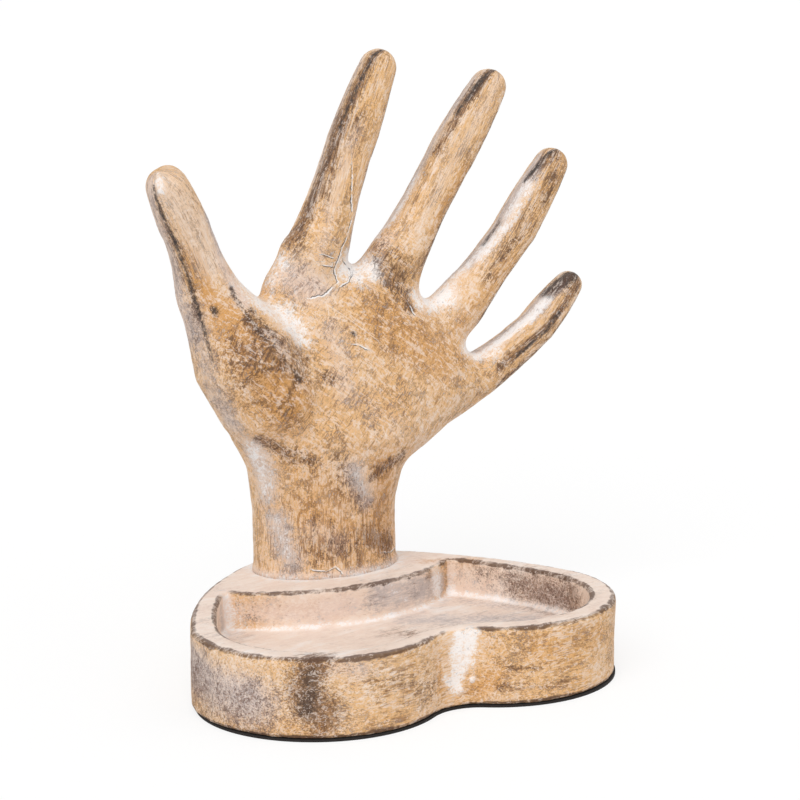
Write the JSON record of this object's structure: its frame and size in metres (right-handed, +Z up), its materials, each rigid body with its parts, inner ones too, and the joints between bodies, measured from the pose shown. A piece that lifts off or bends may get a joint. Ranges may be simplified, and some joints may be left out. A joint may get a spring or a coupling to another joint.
{
  "type": "carved hand jewellery stand",
  "caption": "Carved wooden left hand with splayed fingers, standing on the blunt end of a hollowed heart-shaped dish.",
  "frame": {"origin": "on the underside of the base pad, on the board's centre line, halfway between the fronts of its lobes and its blunt end", "axes": "+X to the right across the board as the palm is seen, +Y from the notch to the blunt end behind the wrist, +Z up"},
  "size_m": [0.2158, 0.154, 0.2461],
  "materials": {
    "carved_wood": "rubbed ochre paint with whitewash in the hollows",
    "board_wood": "rubbed ochre paint, whitewashed on the rim and in the hollow",
    "pad_felt": "dark felt",
    "screw_steel": "plain zinc-plated steel"
  },
  "bodies": {
    "root": {"hand": "carved_wood", "heart_tray": "board_wood", "base_pad": "pad_felt", "wrist_screw_left": "screw_steel", "wrist_screw_right": "screw_steel"}
  },
  "joints": []
}
